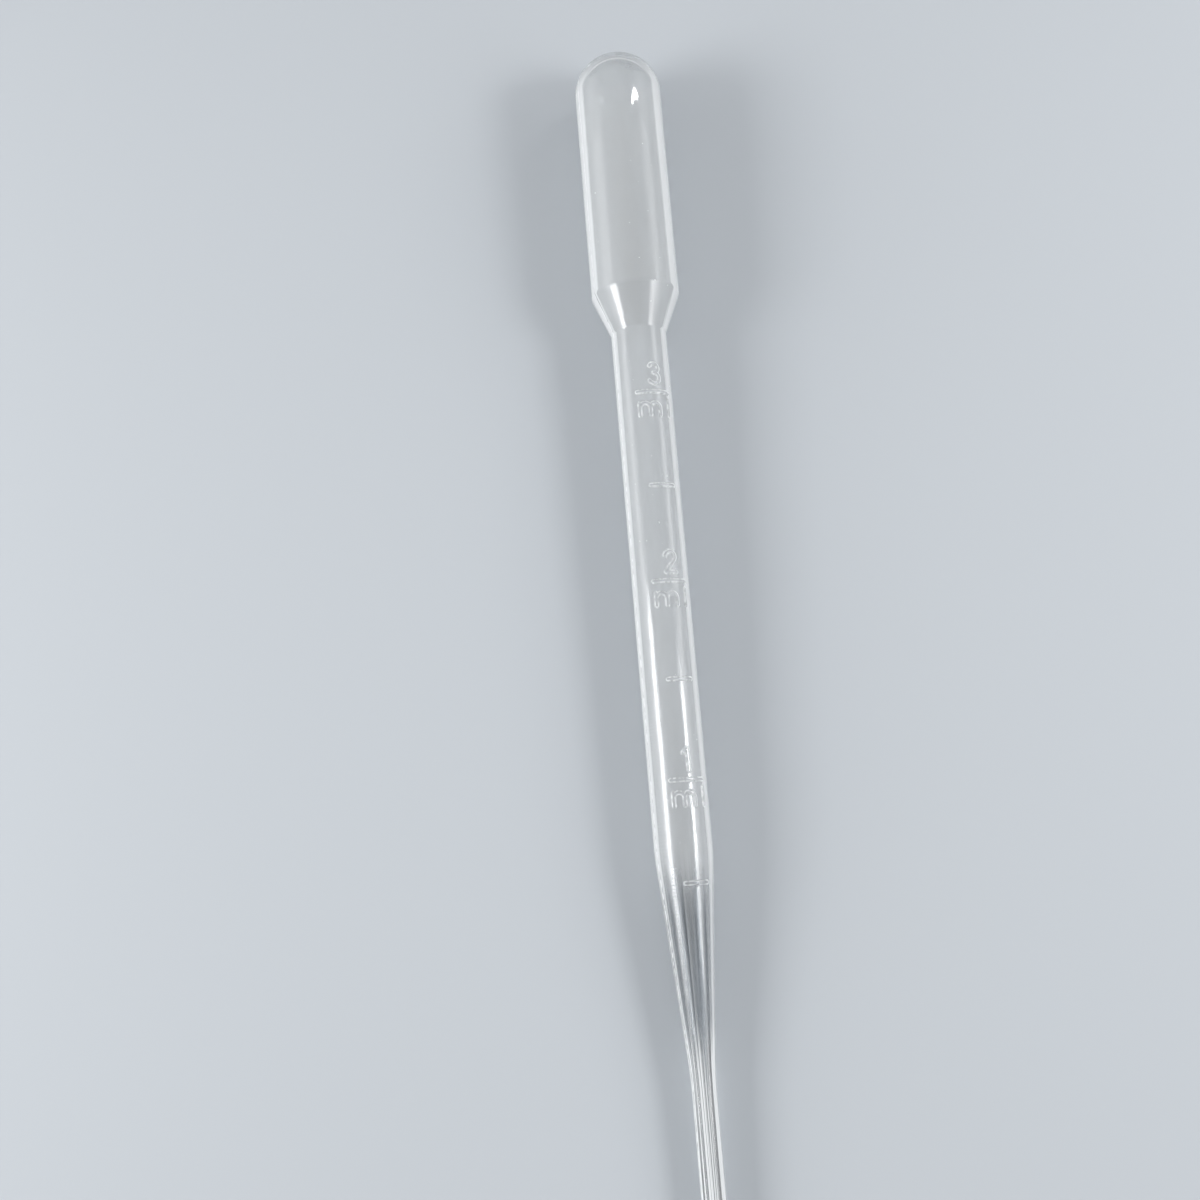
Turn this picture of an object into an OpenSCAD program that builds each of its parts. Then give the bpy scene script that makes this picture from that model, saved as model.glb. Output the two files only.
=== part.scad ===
// Graduated dropper pipette, blow moulded in one piece from soft milky plastic.
// A thin-walled bulb with a domed end narrows to a marked stem, a long taper
// and a fine open tip. It lies on its side as it comes to rest, on the edge of
// the bulb's shoulder and the lower end of the stem, with the tip just off the
// surface and the scale turned upwards.

/* [Bulb] */
// Outside diameter of the bulb
bulb_d = 12; // [10.5:0.1:16]
// Length of the bulb, from the top of its dome to the edge of its shoulder
bulb_len = 35.9; // [25:0.1:50]
// Radius that rounds the top of the bulb into a dome, about a small flat
dome_round = 5.6; // [4:0.1:6]
// Thickness of the bulb's wall
bulb_wall = 0.5; // [0.3:0.05:0.9]

/* [Shoulder] */
// Length of the cone between the bulb and the stem
shoulder_len = 5.5; // [3:0.1:10]
// Radius that rounds the edge where the bulb meets the cone
shoulder_round = 1.2; // [0.5:0.1:2]
// Radius that rounds the neck where the cone meets the stem
neck_round = 1; // [0.5:0.1:2]

/* [Stem] */
// Outside diameter of the stem
stem_d = 7.55; // [6:0.05:9]
// Length of the straight stem, from the neck to the start of the taper
stem_len = 70.3; // [40:0.1:100]
// Thickness of the stem's wall
stem_wall = 0.5; // [0.3:0.05:0.9]

/* [Taper] */
// Length of the taper that draws the stem down to the tip
taper_len = 27.2; // [15:0.1:45]
// Radius of the soft bend at the top of the taper
taper_top_round = 40; // [5:1:60]
// Radius of the soft bend at the foot of the taper
taper_foot_round = 60; // [10:1:90]

/* [Tip] */
// Outside diameter of the tip
tip_d = 3.15; // [2.6:0.05:4.5]
// Length of the straight tip
tip_len = 21.1; // [10:0.1:40]
// Diameter of the bore through the tip
bore_d = 2; // [1:0.05:2.2]
// Bevel around the outer edge of the cut end
rim_bevel = 0.15; // [0.05:0.05:0.25]

/* [Scale] */
// Distance between two marks of the scale, half a millilitre apart
mark_pitch = 12.9; // [8:0.1:20]
// How far the lowest mark lies below the start of the taper
lowest_mark = 3.6; // [1:0.1:5]
// Width of a raised mark along the stem
mark_w = 0.45; // [0.3:0.05:0.8]
// Height of a raised mark above the stem
mark_h = 0.18; // [0.08:0.01:0.2]
// Angle that the long mark at each whole millilitre reaches round the stem
long_sweep = 80; // [60:1:120]
// Angle that the short mark at each half millilitre reaches round the stem
short_sweep = 56; // [30:1:58]
// Angle by which the scale is turned to one side of the top of the stem
scale_turn = 21; // [-45:1:45]

/* [Hidden] */
$fn = 96;

bulb_r = bulb_d / 2;
stem_r = stem_d / 2;
tip_r = tip_d / 2;
bore_r = bore_d / 2;

// Places along the axis, measured from the top of the dome
neck_at = bulb_len + shoulder_len;
taper_at = neck_at + stem_len;
tip_at = taper_at + taper_len;
total_len = tip_at + tip_len;

// Straight steps that make up the dome and each rounded bend
dome_steps = 24;
bend_steps = 8;
// A bend takes at most this share of the shorter straight beside it
bend_share = 0.45;
// Least length of plain stem between the neck and the highest mark
plain_neck = 5;
// How far the foot of a raised mark is sunk into the wall
mark_sink = 0.15;
// Slope on the flanks of a mark, so that it leaves the mould
mark_draft = 0.08;
mark_count = floor((stem_len + lowest_mark - plain_neck) / mark_pitch) + 1;

// Corners of the outline by their place in the list, and the radii that round
// the four past the dome
rounds = [shoulder_round, neck_round, taper_top_round, taper_foot_round];
dome_corner = 1;
shoulder_corner = 2;
taper_corner = 4;
tip_corner = 5;

// Lying on its side, the axis dips towards the tip until the stem's rounded
// end, or the rim of a wide tip, touches the surface that the shoulder lies on
outside = corners(0, stem_r, tip_r);
shoulder_arc = arc_in(outside, shoulder_corner, shoulder_round, bend_share);
stem_arc = arc_in(outside, taper_corner, taper_top_round, bend_share);
rim_edge = [tip_r, total_len - rim_bevel];
dip = min(
    dip_onto(shoulder_arc[0], shoulder_arc[1], stem_arc[0], stem_arc[1]),
    dip_onto(shoulder_arc[0], shoulder_arc[1], rim_edge, 0)
);
lift = shoulder_arc[0] * [cos(dip), sin(dip)] + shoulder_arc[1];
// The ends of the part along the surface, measured from the top of its dome
flat_r = max(bulb_r - dome_round, 0);
back_end = (bulb_r - flat_r) * (cos(dip) - 1) - flat_r * sin(dip);
front_end = total_len * cos(dip) + (tip_r - rim_bevel) * sin(dip);

function unit(v) = v / norm(v);

// Corners of the outline, as [radius, place along the axis], where the bulb is
// inset by the thickness of its wall for the inside
function corners(inset, stem, tip) = [
    [0, inset],
    [bulb_r - inset, inset],
    [bulb_r - inset, bulb_len],
    [stem, neck_at],
    [stem, taper_at],
    [tip, tip_at],
    [tip, total_len]
];

// The arc that rounds corner i of a path: its centre, radius, start and angle
function arc_in(path, i, wanted, share) =
    let (
        back = unit(path[i - 1] - path[i]),
        ahead = unit(path[i + 1] - path[i]),
        half = acos(back * ahead) / 2,
        room = min(norm(path[i - 1] - path[i]), norm(path[i + 1] - path[i])),
        leg = min(wanted / tan(half), share * room),
        radius = leg * tan(half),
        turn = sign(cross(-back, ahead)) * (180 - 2 * half)
    )
    [path[i] + radius / sin(half) * unit(back + ahead), radius, path[i] + leg * back, turn];

// Points along that arc
function bend(path, i, wanted, steps = bend_steps, share = bend_share) =
    let (
        arc = arc_in(path, i, wanted, share),
        from = arc[2] - arc[0]
    )
    [for (k = [0:steps])
        let (t = arc[3] * k / steps)
        arc[0] + [from.x * cos(t) - from.y * sin(t), from.x * sin(t) + from.y * cos(t)]];

// Angle of a level line that touches two circles of the section from outside,
// each given by its centre and radius
function dip_onto(a, a_r, b, b_r) =
    atan2(a.x - b.x, b.y - a.y) - asin((b_r - a_r) / norm(b - a));

// Half section of the solid form inside the outline, from the dome to the tip
module half_section(inset, stem, tip) {
    path = corners(inset, stem, tip);
    polygon(concat(
        [path[0]],
        bend(path, dome_corner, dome_round - inset, dome_steps, 1),
        [for (i = [shoulder_corner:tip_corner]) each bend(path, i, rounds[i - shoulder_corner])],
        [path[tip_corner + 1], [0, total_len]]
    ));
}

// The cut end's outer edge is eased
module rim_cut() {
    polygon([
        [tip_r - rim_bevel, total_len],
        [tip_r, total_len - rim_bevel],
        [tip_r + rim_bevel, total_len - rim_bevel],
        [tip_r + rim_bevel, total_len + rim_bevel],
        [tip_r - rim_bevel, total_len + rim_bevel]
    ]);
}

// The hollow shell, turned from its half section
module shell() {
    rotate_extrude()
        difference() {
            half_section(0, stem_r, tip_r);
            half_section(bulb_wall, stem_r - stem_wall, bore_r);
            rim_cut();
        }
}

// One raised line that reaches round part of the stem at a given place
module mark(place, sweep) {
    wall = lookup(place, [[taper_at, stem_r], [tip_at, tip_r]]);
    foot_w = mark_w + 2 * mark_draft;
    translate([0, 0, place])
        rotate(180 - scale_turn - sweep / 2)
            rotate_extrude(angle = sweep)
                polygon([
                    [wall - mark_sink, -foot_w / 2],
                    [wall, -foot_w / 2],
                    [wall + mark_h, -mark_w / 2],
                    [wall + mark_h, mark_w / 2],
                    [wall, foot_w / 2],
                    [wall - mark_sink, foot_w / 2]
                ]);
}

// The raised lines from the lowest, at half a millilitre, up to the neck
module scale_marks() {
    for (i = [0:mark_count - 1])
        mark(taper_at + lowest_mark - i * mark_pitch, i % 2 == 1 ? long_sweep : short_sweep);
}

module pipette() {
    color([0.86, 0.88, 0.89, 0.6])
        translate([-(back_end + front_end) / 2, 0, lift])
            rotate([0, 90 + dip, 0]) {
                shell();
                scale_marks();
            }
}

pipette();
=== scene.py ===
"""The dropper pipette: one blow-moulded shell of milky plastic, lying on a pale table."""

import math

import bpy
import numpy as np
from mathutils import Matrix, Vector


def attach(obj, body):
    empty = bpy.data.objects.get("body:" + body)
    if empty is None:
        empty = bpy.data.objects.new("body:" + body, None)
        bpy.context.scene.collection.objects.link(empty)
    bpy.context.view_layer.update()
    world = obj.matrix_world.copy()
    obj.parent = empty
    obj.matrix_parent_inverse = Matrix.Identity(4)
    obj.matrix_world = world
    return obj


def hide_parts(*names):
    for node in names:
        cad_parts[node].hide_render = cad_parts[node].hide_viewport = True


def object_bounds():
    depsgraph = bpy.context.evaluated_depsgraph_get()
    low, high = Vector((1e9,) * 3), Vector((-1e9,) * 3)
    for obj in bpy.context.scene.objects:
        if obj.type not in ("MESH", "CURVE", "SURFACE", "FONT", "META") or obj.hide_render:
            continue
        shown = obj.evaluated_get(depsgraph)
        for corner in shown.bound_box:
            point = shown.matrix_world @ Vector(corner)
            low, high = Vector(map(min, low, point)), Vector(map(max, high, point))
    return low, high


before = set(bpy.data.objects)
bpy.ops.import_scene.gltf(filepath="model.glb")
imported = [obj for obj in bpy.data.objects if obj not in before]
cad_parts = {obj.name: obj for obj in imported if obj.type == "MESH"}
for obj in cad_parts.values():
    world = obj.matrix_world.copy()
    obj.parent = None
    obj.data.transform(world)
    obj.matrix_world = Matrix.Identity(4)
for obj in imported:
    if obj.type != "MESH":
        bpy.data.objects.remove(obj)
cad_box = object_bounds()

# ---------------------------------------------------------------------------
# The form of the wall
# The dropper is one hollow wall, blown against a mould in one go: a domed bulb,
# a shoulder, a straight stem, a long taper and a fine tip, open only at its mouth.
# It lies on the edge of the shoulder and the lower end of the stem.
# ---------------------------------------------------------------------------
mm = 0.001

bulb_r = 6.0 * mm
bulb_len = 35.9 * mm
dome_round = 5.6 * mm
shoulder_round = 1.2 * mm
neck_at = bulb_len + 5.5 * mm
neck_round = 1.0 * mm
stem_r = 3.775 * mm
taper_at = neck_at + 70.3 * mm
taper_top_round = 40.0 * mm
tip_at = taper_at + 27.2 * mm
taper_foot_round = 60.0 * mm
tip_r = 1.575 * mm
total_len = tip_at + 21.1 * mm
rim_bevel = 0.15 * mm
bulb_wall = 0.5 * mm
stem_wall = 0.5 * mm
bore_r = 1.0 * mm


def rounded(corners, radii, steps=32):
    """Straight runs between corners, with an arc at each inner corner.

    An arc of radius r leaves both runs at r times the tangent of half the turn,
    and its points turn evenly about its centre.
    """
    corners = np.array(corners)
    points = [corners[:1]]
    for before, corner, after, radius in zip(corners, corners[1:], corners[2:], radii):
        back = (before - corner) / np.linalg.norm(before - corner)
        ahead = (after - corner) / np.linalg.norm(after - corner)
        half_turn = (math.pi - math.acos(back @ ahead)) / 2
        start = corner + back * radius * math.tan(half_turn)
        side = (ahead + back) / np.linalg.norm(ahead + back)
        centre = corner + side * radius / math.cos(half_turn)
        turn = np.linspace(0, 2 * half_turn, steps)[:, None]
        points.append(centre + (start - centre) * np.cos(turn) - back * radius * np.sin(turn))
    points.append(corners[-1:])
    return np.concatenate(points)


def half_section(inset, stem, tip):
    """The outline from the dome to the mouth, as rows of radius and place along the axis."""
    return rounded(
        [
            (0, inset),
            (bulb_r - inset, inset),
            (bulb_r - inset, bulb_len),
            (stem, neck_at),
            (stem, taper_at),
            (tip, tip_at),
            (tip, total_len),
        ],
        [dome_round - inset, shoulder_round, neck_round, taper_top_round, taper_foot_round],
    )


def arc_at(before, corner, after, radius):
    """Centre of the arc that rounds a corner, as (radius, place).

    It lies off the middle of the chord, on the inner side of the bend, by the root of
    the radius squared less half the chord squared.
    """
    arc = rounded([before, corner, after], [radius])[1:-1]
    chord = arc[-1] - arc[0]
    middle = (arc[0] + arc[-1]) / 2
    inward = np.array([-chord[1], chord[0]]) / np.linalg.norm(chord)
    rise = math.sqrt(radius**2 - (chord @ chord) / 4)
    return middle + inward * rise


# The level line under the two rounded edges that it rests on gives the dip of
# the axis towards the tip, and how high the axis starts above the table.
shoulder_arc = arc_at((bulb_r, 0), (bulb_r, bulb_len), (stem_r, neck_at), shoulder_round)
stem_arc = arc_at((stem_r, neck_at), (stem_r, taper_at), (tip_r, tip_at), taper_top_round)
between = stem_arc - shoulder_arc
dip = math.atan2(-between[0], between[1]) - math.asin(
    (taper_top_round - shoulder_round) / np.linalg.norm(between)
)
lift = shoulder_arc[0] * math.cos(dip) + shoulder_arc[1] * math.sin(dip) + shoulder_round
flat_r = bulb_r - dome_round
dome_back = (bulb_r - flat_r) * (math.cos(dip) - 1) - flat_r * math.sin(dip)

# The dome lies at the low end of X, and the scale looks up.
start = np.array([cad_box[0][0] - dome_back, 0.0, lift])
ahead = np.array([math.cos(dip), 0.0, -math.sin(dip)])
upward = np.array([math.sin(dip), 0.0, math.cos(dip)])
sideways = np.array([0.0, 1.0, 0.0])


def on_axis(place, angle, radius):
    """Points at a place along the axis, an angle from its upper side, and a radius.

    From the start go place along the axis, then radius out, where out is the cosine of
    the angle upward plus its sine sideways.
    """
    out = np.cos(angle)[..., None] * upward + np.sin(angle)[..., None] * sideways
    return start + place[..., None] * ahead + radius[..., None] * out


# ---------------------------------------------------------------------------
# The raised scale
# Lines at each half millilitre, with a figure above and the letters of the unit
# below each whole one. They are cut in the mould, so they stand proud of the wall
# with soft edges and rounded ends.
# ---------------------------------------------------------------------------
scale_turn = math.radians(21)
mark_pitch = 12.9 * mm
lowest_mark = taper_at + 3.6 * mm
long_half = math.radians(40) * stem_r
short_half = math.radians(28) * stem_r
stroke_half = 0.225 * mm
stroke_edge = 0.11 * mm
mark_h = 0.17 * mm
outline_half = 0.08 * mm


def from_line(x, y, a, b):
    """Distance to the straight stroke from a to b.

    The nearest point is the foot of the perpendicular, kept between the two ends.
    """
    ax, ay, bx, by = a[0] * mm, a[1] * mm, b[0] * mm, b[1] * mm
    dx, dy = bx - ax, by - ay
    t = np.clip(((x - ax) * dx + (y - ay) * dy) / (dx * dx + dy * dy), 0, 1)
    return np.hypot(x - ax - t * dx, y - ay - t * dy)


def from_arc(x, y, centre, radius, first, last):
    """Distance to the stroke that turns about centre from the first angle to the last.

    The nearest point is the one at the same bearing, kept between the two ends.
    """
    px, py = x - centre[0] * mm, y - centre[1] * mm
    middle = math.radians(first + last) / 2
    reach = abs(math.radians(last - first)) / 2
    bearing = np.arctan2(py, px) - middle
    bearing = (bearing + math.pi) % (2 * math.pi) - math.pi
    nearest = middle + np.clip(bearing, -reach, reach)
    r = radius * mm
    return np.hypot(px - r * np.cos(nearest), py - r * np.sin(nearest))


def figure_one(x, y):
    """A straight stem with a short flag."""
    return [from_line(x, y, (0.1, 1.12), (0.1, 3.88)), from_line(x, y, (0.1, 3.88), (-0.55, 3.35))]


def figure_two(x, y):
    """A bowl, a slope down to the left and a foot."""
    turn = math.radians(-38)
    leave = (0.05 + 0.7 * math.cos(turn), 3.18 + 0.7 * math.sin(turn))
    return [
        from_arc(x, y, (0.05, 3.18), 0.7, 165, -38),
        from_line(x, y, leave, (-0.65, 1.12)),
        from_line(x, y, (-0.65, 1.12), (0.8, 1.12)),
    ]


def figure_three(x, y):
    """Two bowls, open to the left."""
    return [
        from_arc(x, y, (0.05, 3.24), 0.64, 150, -90),
        from_arc(x, y, (0.05, 1.86), 0.74, 90, -150),
    ]


def letters(x, y):
    """The m, three legs under two arches, and the taller l."""
    strokes = [from_line(x, y, (2.1, -0.95), (2.1, -3.25))]
    strokes.append(from_line(x, y, (-2.2, -1.6), (-2.2, -3.25)))
    for leg in (-0.8, 0.6):
        strokes.append(from_arc(x, y, (leg - 0.7, -2.3), 0.7, 180, 0))
        strokes.append(from_line(x, y, (leg, -2.3), (leg, -3.25)))
    return strokes


def scale_relief(place, angle):
    """Height of the scale above the wall, and how near its outline lies.

    The height is flat on a stroke, with a soft step at its edge. The outline is a bell
    curve about that edge, from 1 on it to 0 away from it.
    """
    x = (angle - scale_turn) * stem_r
    nearest = np.full(x.shape, 1.0)
    figures = [figure_one, figure_two, figure_three]
    for half_ml in range(1, 7):
        y = lowest_mark - (half_ml - 1) * mark_pitch - place
        whole = half_ml % 2 == 0
        half = (long_half if whole else short_half) - stroke_half
        strokes = [from_line(x, y, (-half / mm, 0), (half / mm, 0))]
        if whole:
            strokes += figures[half_ml // 2 - 1](x, y) + letters(x, y)
        nearest = np.minimum(nearest, np.min(strokes, axis=0))
    t = np.clip((stroke_half + stroke_edge / 2 - nearest) / stroke_edge, 0, 1)
    outline = np.exp(-(((nearest - stroke_half) / outline_half) ** 2))
    return mark_h * t * t * (3 - 2 * t), outline


# ---------------------------------------------------------------------------
# The shell
# The whole wall of thin milky polyethylene, outside and inside, as one closed surface.
# The blow mould left it a parting line, and drawing it out left the taper clearer. Its
# rows and columns crowd together at the scale, the bends and the parting line.
# ---------------------------------------------------------------------------
skin = 0.008 * mm
seam_h = 0.04 * mm
seam_half = 0.13 * mm
seam_spread = 4 * seam_half
bulb_seam_shine = 0.4
stem_seam_shine = 1.6
wave_h = 0.02 * mm
rim_round = 0.1 * mm
bore_edge_round = 0.06 * mm

dome_run = 1.7 * dome_round
dome_row = 0.28 * mm
plain_row = 1.5 * mm
scale_row = 0.1 * mm
plain_turn = 0.1


def crowded(length, plain, fine):
    """Stations from 0 to length: steps are plain ones, but shorter inside each fine zone.

    The stations are where the running sum of 1 over the step reaches whole numbers.
    """
    at = np.linspace(0, length, 20001)
    step = np.full(at.shape, plain)
    for low, high, short in fine:
        outside = np.maximum(np.maximum(low - at, at - high), 0)
        step = np.minimum(step, short + 0.35 * outside)
    count = np.concatenate([[0], np.cumsum((1 / step)[1:] + (1 / step)[:-1]) / 2])
    count *= length / 20000
    whole = max(round(count[-1]), 1)
    return np.interp(np.arange(whole + 1) / whole, count / count[-1], at)


def walk(path):
    """Running length along a path: the sum of the straight steps between its points."""
    return np.concatenate([[0], np.cumsum(np.hypot(*np.diff(path, axis=0).T))])


def sampled(path, plain, fine):
    """A path's points at crowded stations; fine zones are given by place along the axis.

    The path is read off in proportion between its own points, by running length.
    """
    length = walk(path)
    zones = [(*np.interp([low, high], path[:, 1], length), short) for low, high, short in fine]
    zones.append((0, dome_run, dome_row))
    at = crowded(length[-1], plain, zones)
    return np.stack([np.interp(at, length, path[:, i]) for i in (0, 1)], axis=1)


mouth = total_len - skin
outside_path = half_section(0, stem_r, tip_r)[:-1]
rim = rounded(
    [
        (tip_r - skin, tip_at),
        (tip_r - skin, mouth - rim_bevel),
        (tip_r - skin - rim_bevel, mouth),
        (bore_r, mouth),
        (bore_r, tip_at),
    ],
    [rim_round, rim_round, bore_edge_round],
    steps=5,
)[1:-1]
outside_path = np.concatenate([outside_path, rim[:1]])
inside_path = half_section(bulb_wall, stem_r - stem_wall, bore_r)
inside_path[-1, 1] = rim[-1, 1]

bends = [
    (bulb_len - 0.4 * mm, bulb_len + 0.4 * mm, 0.08 * mm),
    (neck_at - 0.4 * mm, neck_at + 0.4 * mm, 0.08 * mm),
    (taper_at - 2 * mm, taper_at + 2 * mm, 0.5 * mm),
    (tip_at - 3 * mm, tip_at + 3 * mm, 0.6 * mm),
]
marks = []
for half_ml in range(1, 7):
    at = lowest_mark - (half_ml - 1) * mark_pitch
    whole = half_ml % 2 == 0
    above = 4.2 if whole else 0.4
    below = 3.6 if whole else 0.4
    marks.append((at - above * mm, at + below * mm, scale_row))

outside = sampled(outside_path, plain_row, bends + marks)
inside = sampled(inside_path, plain_row, bends)
section = np.concatenate([outside[1:], rim[1:-1], inside[1:][::-1]])
outside_rows = len(outside) - 1

# Round the wall the fine zones are the parting line, the scale and the parting line again,
# each given by its middle, its half width and its step in radians
turns = [
    (middle - half, middle + half, short)
    for middle, half, short in (
        (scale_turn + math.pi / 2, 0.03, 0.010),
        (scale_turn + math.pi, 0.73, 0.027),
        (scale_turn + math.pi * 3 / 2, 0.03, 0.010),
    )
]
angles = crowded(2 * math.pi, plain_turn, turns)[:-1] - math.pi

place, angle = np.meshgrid(section[:, 1], angles, indexing="ij")
radius = np.repeat(section[:, :1], len(angles), axis=1)

# Slow unevenness of a blown wall, always inwards so that the form keeps its size
wave = np.sin(3 * angle + 90 * place) + np.sin(2 * angle - 210 * place + 1.3)
wave = wave + np.sin(5 * angle + 330 * place + 4.1)
wave = -wave_h * (0.5 + wave / 6)
# The parting line of the two mould halves runs a quarter turn to each side of the scale
# and over the dome: a fine line between two shallow hollows
off_line = np.abs((angle - scale_turn) % math.pi - math.pi / 2) * np.maximum(radius, 0.3 * mm)
line = np.exp(-((off_line / seam_half) ** 2))
seam = seam_h * (line - 1) * np.exp(-((off_line / seam_spread) ** 2))
share = np.clip(radius / (2 * mm), 0, 1)

row = np.arange(len(section))[:, None]
outer = (row < outside_rows) * np.ones_like(radius)
relief, outline = scale_relief(place, angle)
radius = radius + outer * (relief + (wave + seam) * share - skin)

# Painted glints: how strongly the edges of the scale and the parting line are painted white, which
# the material reads
past_bulb = np.clip((place - bulb_len) / (neck_at - bulb_len), 0, 1)
seam_shine = bulb_seam_shine + (stem_seam_shine - bulb_seam_shine) * past_bulb
painted_glints = outer * np.maximum(outline, seam_shine * line * np.clip(radius / (0.6 * mm), 0, 1))

points = on_axis(place, angle, radius).reshape(-1, 3)
poles = on_axis(np.array([outside[0, 1], inside[0, 1]]), np.zeros(2), np.zeros(2))
points = np.concatenate([points, poles])

rows, columns = radius.shape
index = np.arange(rows * columns).reshape(rows, columns)
after = np.roll(index, -1, axis=1)
quads = np.stack([index[:-1], index[1:], after[1:], after[:-1]], axis=-1).reshape(-1, 4)
top = np.stack([index[0], after[0], np.full(columns, rows * columns)], axis=-1)
foot = np.stack([after[-1], index[-1], np.full(columns, rows * columns + 1)], axis=-1)

mesh = bpy.data.meshes.new("pipette_shell")
mesh.from_pydata(points.tolist(), [], quads.tolist() + top.tolist() + foot.tolist())
mesh.validate()
shell = bpy.data.objects.new("pipette_shell", mesh)
bpy.context.scene.collection.objects.link(shell)
mesh.shade_smooth()

# Each corner knows its share of the way round and its place along the axis in metres
uv = mesh.uv_layers.new(name="unrolled")
loop_vertex = np.zeros(len(mesh.loops), np.int32)
mesh.loops.foreach_get("vertex_index", loop_vertex)
along = np.append(place.reshape(-1), [outside[0, 1], inside[0, 1]])
around = np.append(angle.reshape(-1) / (2 * math.pi) + 0.5, [0.5, 0.5])
corner = np.stack([around[loop_vertex], along[loop_vertex]], axis=-1)
uv.data.foreach_set("uv", corner.reshape(-1).astype(np.float32))

# The painted glints are kept on the points for the material
painted_glint_layer = mesh.attributes.new("painted_glints", "FLOAT", "POINT")
painted_glint_layer.data.foreach_set("value", np.append(painted_glints.reshape(-1), [0, 0]).astype(np.float32))

# Colours of the plastic where it is clear, of the painted shade in grey streaks on the clear taper,
# and where it is milky
clear_colour = (0.94, 0.955, 0.965, 1)
painted_shade_colour = (0.50, 0.52, 0.54, 1)
milk_colour = (0.825, 0.84, 0.845, 1)
refraction = 1.51

# Shares of white in the plastic, some of them painted light at the outline, the contour line and the
# edges of the scale, and how strong its streaks are in the tip
body_haze = 0.36
dome_clear = 0.10
taper_haze = 0.02
streak_haze = 0.22
painted_edge_light = 0.44
painted_dome_contour = 0.55
painted_stem_contour = 0.30
bulb_haze = 0.04
tip_haze = 0.12
painted_glint_haze = 0.5
patch_haze = 0.02
tip_painted_streaks = 4.5
tip_painted_shade = 0.7

# Relief left by the drawing and the blowing, and the roughness of the gloss
ring_pitch = 0.45 * mm
ring_h = 0.006 * mm
unevenness = 0.006 * mm
dome_evenness = 0.15
smooth = 0.06
dull = 0.11
dome_gloss = 0.25
cone_dullness = 0.14
speck_dullness = 0.2


def linked(nodes, links, kind, *sources, **settings):
    """A node of the given kind, with its properties set and its first inputs fed in order."""
    node = nodes.new(kind)
    for name, value in settings.items():
        setattr(node, name, value)
    for socket, source in zip(node.inputs, sources):
        if isinstance(source, bpy.types.NodeSocket):
            links.new(source, socket)
        elif source is not None:
            socket.default_value = source
    return node


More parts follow.
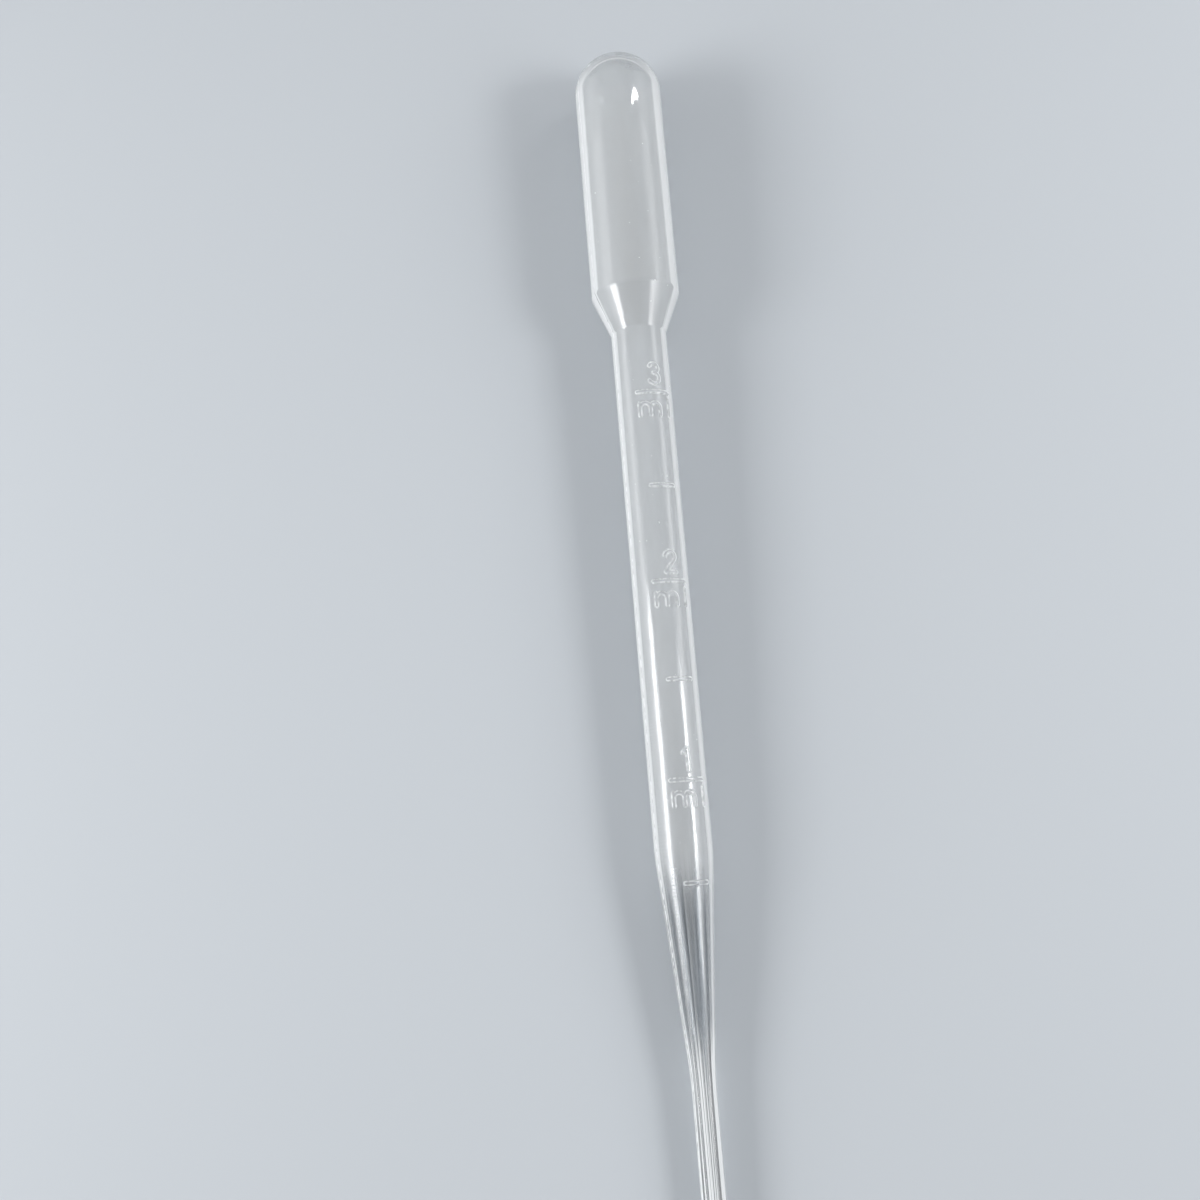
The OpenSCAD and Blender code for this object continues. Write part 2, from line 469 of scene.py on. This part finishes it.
def milky_plastic():
    """Thin milky plastic: clear where the taper was pulled thin, whiter where the wall is seen
    edge-on, as painted light.

    The share of white is a haze that falls along the taper, with long faint streaks
    there, made much stronger in the tip as painted light. Painted highlights add more
    white towards the outline of the form, a painted bright contour line just inside it
    on the dome and the stem, and, unevenly, painted glints on the edges of the scale and
    the parting line. Grey streaks in the clear taper are painted shade. Fine rings left
    by the drawing cross the lower stem and the taper.
    """
    material = bpy.data.materials.new("milky_plastic")
    material.use_nodes = True
    nodes, links = material.node_tree.nodes, material.node_tree.links
    nodes.clear()

    def node(kind, *sources, **settings):
        return linked(nodes, links, kind, *sources, **settings)

    def sum_of(a, b):
        return node("ShaderNodeMath", a, b, operation="ADD").outputs[0]

    def product(a, b):
        return node("ShaderNodeMath", a, b, operation="MULTIPLY").outputs[0]

    def ramp(value, low, high, at_low, at_high):
        return node(
            "ShaderNodeMapRange", value, low, high, at_low, at_high, interpolation_type="SMOOTHSTEP"
        ).outputs[0]

    unrolled = node("ShaderNodeUVMap", uv_map="unrolled")
    split = node("ShaderNodeSeparateXYZ", unrolled.outputs[0])
    bearing = product(split.outputs[0], 2 * math.pi)
    along = split.outputs[1]
    cosine = node("ShaderNodeMath", bearing, operation="COSINE").outputs[0]
    sine = node("ShaderNodeMath", bearing, operation="SINE").outputs[0]

    def grain(around, length, scale, detail):
        """Noise over the wall, in patches a share of the turn wide and a length long."""
        spot = node(
            "ShaderNodeCombineXYZ",
            product(cosine, 1 / around),
            product(sine, 1 / around),
            product(along, 1 / length),
        )
        noise = node("ShaderNodeTexNoise")
        links.new(spot.outputs[0], noise.inputs["Vector"])
        noise.inputs["Scale"].default_value = scale
        noise.inputs["Detail"].default_value = detail
        return noise.outputs["Fac"]

    drawn_out = ramp(along, taper_at - 3 * mm, taper_at + 10 * mm, 0.0, 1.0)
    narrowed = ramp(along, tip_at - 9 * mm, tip_at + 1 * mm, 0.0, 1.0)
    haze = ramp(drawn_out, 0.0, 1.0, body_haze, taper_haze)
    haze = sum_of(haze, product(narrowed, tip_haze))
    haze = sum_of(haze, ramp(along, bulb_len - 0.5 * mm, bulb_len + 0.3 * mm, bulb_haze, 0.0))
    haze = sum_of(haze, ramp(along, 4 * mm, 12 * mm, -dome_clear, 0.0))
    # Faint white streaks in the taper; in the tip they are made much stronger as painted light
    streaks = ramp(grain(0.16, 60 * mm, 1.0, 3.0), 0.42, 0.62, 0.0, streak_haze)
    streaks = product(product(streaks, drawn_out), ramp(narrowed, 0.0, 1.0, 1.0, tip_painted_streaks))
    haze = sum_of(haze, streaks)
    haze = sum_of(haze, ramp(grain(0.8, 12 * mm, 1.0, 2.0), 0.1, 0.9, -patch_haze, patch_haze))

    # Painted light: more white where the wall is seen edge-on, and a painted bright contour line a
    # little inside the outline, on the dome and on the stem
    layer = node("ShaderNodeLayerWeight", 0.5)
    edge = ramp(layer.outputs["Facing"], 0.46, 0.53, 0.0, painted_edge_light)
    past_dome = ramp(along, 1.5 * mm, 6.5 * mm, 0.0, 1.0)
    painted_contour = product(
        ramp(layer.outputs["Facing"], 0.42, 0.46, 0.0, 1.0),
        ramp(layer.outputs["Facing"], 0.47, 0.51, 1.0, 0.0),
    )
    on_dome = ramp(past_dome, 0.0, 1.0, painted_dome_contour, 0.0)
    painted_contour = product(painted_contour, sum_of(on_dome, ramp(along, bulb_len, neck_at, 0.0, painted_stem_contour)))
    edge = sum_of(product(edge, past_dome), painted_contour)
    # Painted glints: uneven extra white on the edges of the scale and on the parting line
    outline = node("ShaderNodeAttribute", attribute_name="painted_glints")
    catch = ramp(grain(0.12, 0.8 * mm, 1.0, 1.0), 0.35, 0.65, 0.25, 1.35)
    glint = product(product(outline.outputs["Fac"], painted_glint_haze), catch)
    white = node("ShaderNodeMath", sum_of(haze, edge), glint, operation="ADD", use_clamp=True)

    rings = node("ShaderNodeMath", product(along, 2 * math.pi / ring_pitch), operation="SINE")
    ring_mask = ramp(along, taper_at - 45 * mm, taper_at + 4 * mm, 0.0, 1.0)
    ring_mask = product(ring_mask, ramp(along, tip_at - 8 * mm, tip_at, 1.0, 0.0))
    ring_mask = product(ring_mask, ramp(sine, 0.1, 0.35, 0.1, 1.0))
    ring_mask = product(ring_mask, ramp(grain(0.3, 2.2 * mm, 1.0, 2.0), 0.35, 0.65, 0.2, 1.0))
    height = product(product(rings.outputs[0], ring_mask), ring_h)
    settled = ramp(along, 11 * mm, 18 * mm, 0.0, 1.0)
    swell = ramp(settled, 0.0, 1.0, dome_evenness * unevenness, unevenness)
    height = sum_of(height, product(grain(0.5, 7 * mm, 1.0, 1.0), swell))
    bump = node("ShaderNodeBump", 1.0, 1.0)
    links.new(height, bump.inputs["Height"])

    specks = ramp(grain(0.08, 0.3 * mm, 1.0, 1.0), 0.79, 0.81, 0.0, speck_dullness)
    gloss = ramp(grain(0.6, 5 * mm, 1.0, 2.0), 0.1, 0.9, smooth, dull)
    gloss = product(gloss, ramp(settled, 0.0, 1.0, dome_gloss, 1.0))
    on_cone = ramp(along, bulb_len - 4 * mm, bulb_len, 0.0, 1.0)
    on_cone = product(on_cone, ramp(along, neck_at - 2 * mm, neck_at + 2 * mm, 1.0, 0.0))
    gloss = sum_of(gloss, product(on_cone, ramp(sine, -0.45, 0.0, cone_dullness, 0.0)))
    gloss = sum_of(gloss, specks)

    # Painted shade: grey streaks that darken the clear taper, a little less in the tip
    painted_taper_shade = product(ramp(grain(0.2, 80 * mm, 1.0, 4.0), 0.35, 0.6, 0.0, 1.0), drawn_out)
    painted_taper_shade = product(painted_taper_shade, ramp(narrowed, 0.0, 1.0, 1.0, tip_painted_shade))
    shaded_base = node("ShaderNodeMix", data_type="RGBA")
    links.new(painted_taper_shade, shaded_base.inputs["Factor"])
    shaded_base.inputs[6].default_value = clear_colour
    shaded_base.inputs[7].default_value = painted_shade_colour

    clear = node("ShaderNodeBsdfPrincipled")
    links.new(shaded_base.outputs[2], clear.inputs["Base Color"])
    clear.inputs["Transmission Weight"].default_value = 1.0
    milk = node("ShaderNodeBsdfPrincipled")
    milk.inputs["Base Color"].default_value = milk_colour
    for plastic in (clear, milk):
        plastic.inputs["IOR"].default_value = refraction
        links.new(gloss, plastic.inputs["Roughness"])
        links.new(bump.outputs[0], plastic.inputs["Normal"])
    mix = node("ShaderNodeMixShader", white.outputs[0], clear.outputs[0], milk.outputs[0])
    node("ShaderNodeOutputMaterial", mix.outputs[0])
    return material


mesh.materials.append(milky_plastic())

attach(shell, "root")
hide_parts("pipette")

# ---------------------------------------------------------------------------
# Table, light and camera
# A plain pale table top of matt paint, on which the pipette lies, with soft lights to
# both sides and a camera that looks down on it.
# ---------------------------------------------------------------------------
table_r = 0.42
table_colour = (0.56, 0.59, 0.62, 1)
# Painted shade: the table darkens towards its rim, where the lights stand close
table_rim_painted_shade = (0.26, 0.275, 0.29, 1)
even_r = 0.13
rim_turn = np.linspace(0, 2 * math.pi, 96, endpoint=False)
table_rim = table_r * np.stack([np.cos(rim_turn), np.sin(rim_turn), 0 * rim_turn], axis=-1)
floor_mesh = bpy.data.meshes.new("table_top")
floor_mesh.from_pydata(table_rim.tolist(), [], [list(range(len(rim_turn)))])
table_top = bpy.data.objects.new("table_top", floor_mesh)
bpy.context.scene.collection.objects.link(table_top)


def pale_table():
    """Matt paint, with painted shade towards the rim, where the lights stand close above it."""
    material = bpy.data.materials.new("pale_table")
    material.use_nodes = True
    nodes, links = material.node_tree.nodes, material.node_tree.links
    paint = nodes["Principled BSDF"]
    place = linked(nodes, links, "ShaderNodeTexCoord").outputs["Object"]
    reach = linked(nodes, links, "ShaderNodeVectorMath", place, operation="LENGTH").outputs["Value"]
    outwards = linked(nodes, links, "ShaderNodeMapRange", reach, even_r, table_r, 0.0, 1.0)
    colour = linked(nodes, links, "ShaderNodeMix", data_type="RGBA")
    links.new(outwards.outputs[0], colour.inputs["Factor"])
    colour.inputs[6].default_value = table_colour
    colour.inputs[7].default_value = table_rim_painted_shade
    links.new(colour.outputs[2], paint.inputs["Base Color"])
    paint.inputs["Roughness"].default_value = 0.8
    return material


floor_mesh.materials.append(pale_table())


def soft_light(name, centre, size, radiance, aim=(0, 0, 0.005), shape="RECTANGLE"):
    """A flat soft light at centre, in metres, turned to aim. Its power is radiance x pi x area."""
    data = bpy.data.lights.new(name, "AREA")
    data.shape = shape
    data.size, data.size_y = size
    data.energy = radiance * math.pi * size[0] * size[1]
    lamp = bpy.data.objects.new(name, data)
    lamp.location = centre
    lamp.rotation_euler = (Vector(centre) - Vector(aim)).to_track_quat("Z", "Y").to_euler()
    bpy.context.scene.collection.objects.link(lamp)
    return lamp


soft_light("left_light", centre=(0.015, -0.362, 0.222), size=(0.19, 0.13), radiance=10.0)
soft_light("right_light", centre=(0.010, 0.305, 0.262), size=(0.11, 0.09), radiance=12.0)
soft_light("right_end_light", centre=(0.095, 0.305, 0.262), size=(0.06, 0.09), radiance=6.0)
# A narrow lamp past the bulb puts one spot of light on the dome's gloss
dome_light = soft_light(
    "dome_light",
    centre=(-0.1888, 0.152, 0.175),
    size=(0.003, 0.075),
    radiance=55.0,
    aim=(-0.180, 0, 0.012),
    shape="ELLIPSE",
)
dome_light.visible_transmission = False
# Each side also has a broad glow that fades towards its edges: three lights in one place
glows = [(0.80, 0.30, 0.60), (0.66, 0.20, 0.85), (0.52, 0.10, 1.00)]
for step, (length, height, radiance) in enumerate(glows):
    shift = 0.02 * step
    left = (shift, -0.437, 0.142 + 0.2 * shift)
    soft_light(f"left_glow_{step}", left, (length, height), radiance)
    right = (shift, 0.410, 0.209 + 0.15 * shift)
    soft_light(f"right_glow_{step}", right, (length, 0.8 * height), radiance)

# The air round the table gives a dim even light. It looks as pale as the table to the
# camera, in the gloss and through the plastic.
dim_air = (0.372, 0.384, 0.40, 1)
pale_air = (0.50, 0.53, 0.565, 1)
world = bpy.data.worlds.new("studio")
world.use_nodes = True
nodes, links = world.node_tree.nodes, world.node_tree.links
ray = linked(nodes, links, "ShaderNodeLightPath").outputs
seen = ray["Is Camera Ray"]
for other in (ray["Is Glossy Ray"], ray["Is Transmission Ray"]):
    seen = linked(nodes, links, "ShaderNodeMath", seen, other, operation="MAXIMUM").outputs[0]
air = linked(nodes, links, "ShaderNodeMix", data_type="RGBA")
links.new(seen, air.inputs["Factor"])
air.inputs[6].default_value = dim_air
air.inputs[7].default_value = pale_air
links.new(air.outputs[2], nodes["Background"].inputs["Color"])
bpy.context.scene.world = world
bpy.context.scene.view_settings.view_transform = "Standard"

# The camera's place and its three axes
eye = Vector((0.04652, -0.00800, 0.20956))
to_right = Vector((0.0766, 0.99689, -0.0187))
up = Vector((-0.96974, 0.07885, 0.23105))
back = Vector((0.23181, 0.00044, 0.97276))
camera = bpy.data.objects.new("camera", bpy.data.cameras.new("camera"))
camera.data.lens = 48
camera.data.sensor_width = 36
camera.data.clip_start = 0.01
camera.matrix_world = Matrix((to_right, up, back)).transposed().to_4x4()
camera.location = eye
bpy.context.scene.collection.objects.link(camera)
bpy.context.scene.camera = camera
